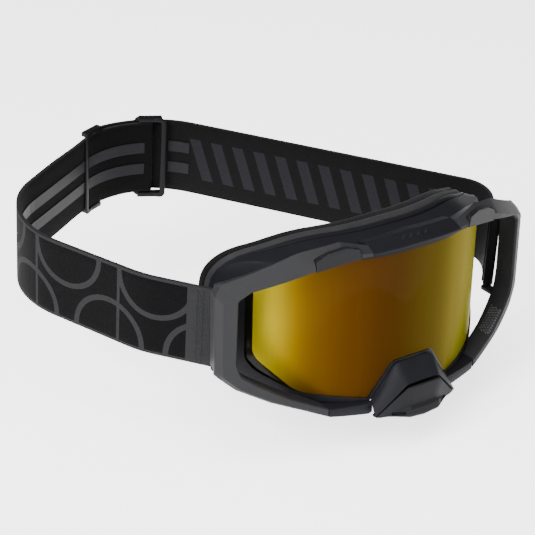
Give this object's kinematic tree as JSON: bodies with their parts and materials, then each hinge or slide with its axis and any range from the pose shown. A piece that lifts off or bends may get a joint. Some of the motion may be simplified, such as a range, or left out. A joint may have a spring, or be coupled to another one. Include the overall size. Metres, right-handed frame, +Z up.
{
  "type": "motorcycle goggles",
  "caption": "Off-road goggles: bent mirrored lens in a soft frame, stiff outriggers with lens latches, clip-on nose guard, face foam and a two-piece elastic strap with sliders.",
  "frame": {"origin": "centre of the face foam's rear face, on the wearer's nose line", "axes": "+X towards the wearer's left, +Y back towards the head and strap, +Z up; the lens faces -Y"},
  "size_m": [0.2386, 0.2492, 0.0984],
  "materials": {
    "soft_frame": "soft moulded polyurethane, fine matt grain",
    "outrigger": "satin painted nylon",
    "mirror_lens": "gold mirror coating on polycarbonate, black printed border",
    "foam": "open-cell foam",
    "fleece": "brushed fleece facing",
    "filter": "thin reticulated foam",
    "guard": "fine moulded grain",
    "latch": "satin moulded nylon",
    "steel_pin": "drawn wire",
    "elastic": "woven elastic, darker pattern on the outer face",
    "slider": "moulded acetal, slight gloss",
    "silicone": "printed silicone, semi-gloss"
  },
  "bodies": {
    "goggles": {"frame": "soft_frame", "outrigger_left": "outrigger", "outrigger_right": "outrigger", "foam_base": "foam", "foam_middle": "foam", "foam_face": "fleece", "vent_filter_top": "filter", "vent_filter_left": "filter", "vent_filter_right": "filter", "latch_pin_left": "steel_pin", "latch_pin_right": "steel_pin", "strap_bar_left": "steel_pin", "strap_bar_right": "steel_pin", "strap_left": "elastic", "strap_right": "elastic", "grip_stripes_left": "silicone", "grip_stripes_right": "silicone"},
    "lens": {"lens": "mirror_lens"},
    "nose_guard": {"nose_guard": "guard"},
    "latch_left": {"latch_left": "latch"},
    "latch_right": {"latch_right": "latch"},
    "slider_left": {"slider_left": "slider"},
    "slider_right": {"slider_right": "slider"}
  },
  "joints": [
    {"name": "lens_release", "type": "slide", "parent": "goggles", "child": "lens", "axis": [0, -1, 0], "range_m": [0, 0.03]},
    {"name": "nose_guard_release", "type": "slide", "parent": "goggles", "child": "nose_guard", "axis": [0, 0, -1], "range_m": [0, 0.02]},
    {"name": "latch_left_open", "type": "hinge", "parent": "goggles", "child": "latch_left", "pos_m": [0.04507, -0.03567, 0.04518], "axis": [-0.9436, -0.2765, 0.1822], "range_deg": [0, 25]},
    {"name": "latch_right_open", "type": "hinge", "parent": "goggles", "child": "latch_right", "pos_m": [-0.04507, -0.03567, 0.04518], "axis": [-0.9436, 0.2765, -0.1822], "range_deg": [0, 25]},
    {"name": "slider_left_travel", "type": "hinge", "parent": "goggles", "child": "slider_left", "pos_m": [-0.03587, 0.14242, 0.00638], "axis": [0, -0.0558, 0.9984], "range_deg": [-8, 8]},
    {"name": "slider_right_travel", "type": "hinge", "parent": "goggles", "child": "slider_right", "pos_m": [-0.03587, 0.14242, 0.00638], "axis": [0, -0.0558, 0.9984], "range_deg": [-8, 8]}
  ]
}
